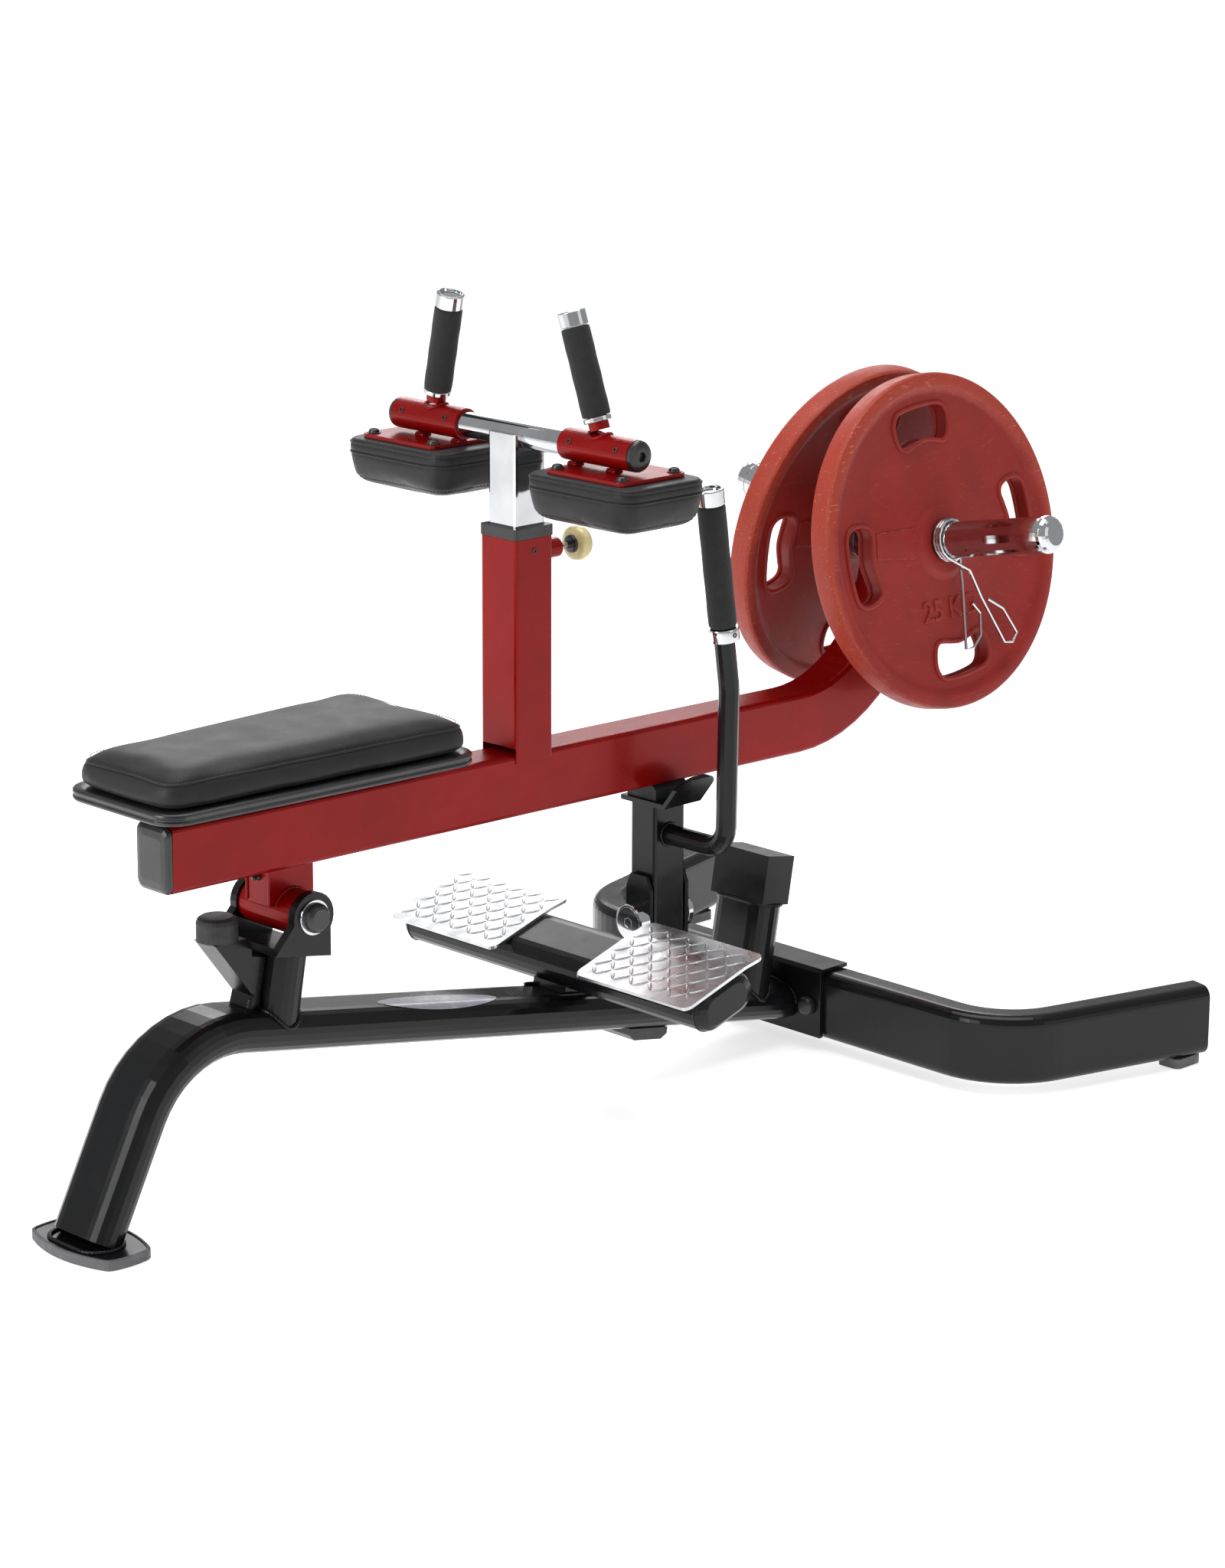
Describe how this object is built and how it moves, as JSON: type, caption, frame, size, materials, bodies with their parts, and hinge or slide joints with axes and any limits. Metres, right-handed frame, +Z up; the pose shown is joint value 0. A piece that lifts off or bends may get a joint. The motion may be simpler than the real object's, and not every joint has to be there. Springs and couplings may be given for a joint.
{
  "type": "seated calf raise machine",
  "caption": "Plate-loaded seated calf raise machine with hinged lever seat, knee pads, tread plates, catch handle and tilted weight horns.",
  "frame": {"origin": "centre of the overall box at floor level", "axes": "+X from the seat end to the plate end, +Y to the sitter's left, +Z up"},
  "size_m": [1.65, 0.972, 1.0492],
  "materials": {
    "frame_black": "gloss black powder coat",
    "lever_red": "gloss dark red powder coat",
    "chrome": "bright",
    "tread_plate": "embossed chequer pattern",
    "rubber_black": "matte",
    "foot_grey": "matte",
    "plate_red": "brick red rubber coat",
    "vinyl": "black grained vinyl",
    "foam": "closed-cell foam sleeve",
    "plastic_black": "satin",
    "knob_cream": "smooth"
  },
  "bodies": {
    "base": {"base_tube": "frame_black", "front_foot_plate": "frame_black", "hinge_post": "frame_black", "hinge_clevis": "frame_black", "bumper_bracket": "frame_black", "footrest_tube": "frame_black", "stop_leg": "frame_black", "stop_block": "frame_black", "rear_cross_tube": "frame_black", "cross_saddle": "frame_black", "catch_bracket": "frame_black", "front_foot_pad": "foot_grey", "rear_foot_near": "foot_grey", "rear_foot_far": "foot_grey", "hinge_pin": "plastic_black", "under_plate": "plastic_black", "saddle_bolt_near": "plastic_black", "saddle_bolt_far": "plastic_black", "lift_bumper": "rubber_black", "foot_plate_near": "tread_plate", "foot_plate_far": "tread_plate", "catch_shaft": "chrome"},
    "lever": {"lever_beam": "lever_red", "hinge_hub": "lever_red", "hinge_gusset": "lever_red", "seat_spacer": "lever_red", "post_sleeve": "lever_red", "plunger_boss": "lever_red", "beam_end_cap": "plastic_black", "sleeve_collar": "plastic_black", "seat_board": "vinyl", "seat_cushion": "vinyl", "weight_horn_near": "chrome", "weight_horn_far": "chrome"},
    "knee_carriage": {"knee_post": "chrome", "knee_cross_tube": "chrome", "grip_cap_near": "chrome", "grip_cap_far": "chrome", "pad_sleeve_near": "lever_red", "pad_sleeve_far": "lever_red", "pad_bracket_near": "lever_red", "pad_bracket_far": "lever_red", "grip_stem_near": "lever_red", "grip_stem_far": "lever_red", "knee_pad_near": "vinyl", "knee_pad_far": "vinyl", "hand_grip_near": "foam", "hand_grip_far": "foam"},
    "pull_plunger": {"plunger": "knob_cream"},
    "catch": {"catch_post": "frame_black", "catch_saddle": "frame_black", "catch_handle": "frame_black", "catch_pad": "rubber_black", "catch_grip": "foam", "catch_grip_cap": "chrome"},
    "plate_near": {"weight_plate_near": "plate_red"},
    "plate_far": {"weight_plate_far": "plate_red"},
    "clip_near": {"spring_clip_near": "chrome"},
    "clip_far": {"spring_clip_far": "chrome"}
  },
  "joints": [
    {"name": "lever_lift", "type": "hinge", "parent": "base", "child": "lever", "pos_m": [-0.481, 0, 0.3555], "axis": [0, -1, 0], "range_deg": [0, 20]},
    {"name": "catch_swing", "type": "hinge", "parent": "base", "child": "catch", "pos_m": [0.152, 0, 0.215], "axis": [1, 0, 0], "range_deg": [0, 25]},
    {"name": "knee_height", "type": "slide", "parent": "lever", "child": "knee_carriage", "axis": [0, 0, 1], "range_m": [-0.08, 0.1]},
    {"name": "plunger_pull", "type": "slide", "parent": "lever", "child": "pull_plunger", "axis": [1, 0, 0], "range_m": [0, 0.012], "stiffness_N_per_m": 900, "springref_m": -0.006},
    {"name": "plate_slide_near", "type": "slide", "parent": "lever", "child": "plate_near", "axis": [0, -0.9816, 0.1908], "range_m": [0, 0.12]},
    {"name": "plate_slide_far", "type": "slide", "parent": "lever", "child": "plate_far", "axis": [0, 0.9816, 0.1908], "range_m": [0, 0.12]},
    {"name": "clip_slide_near", "type": "slide", "parent": "lever", "child": "clip_near", "axis": [0, -0.9816, 0.1908], "range_m": [0, 0.12]},
    {"name": "clip_slide_far", "type": "slide", "parent": "lever", "child": "clip_far", "axis": [0, 0.9816, 0.1908], "range_m": [0, 0.12]}
  ],
  "couplings": [
    {"joint": "clip_slide_near", "follows": "plate_slide_near", "ratio": 1},
    {"joint": "clip_slide_far", "follows": "plate_slide_far", "ratio": 1}
  ]
}
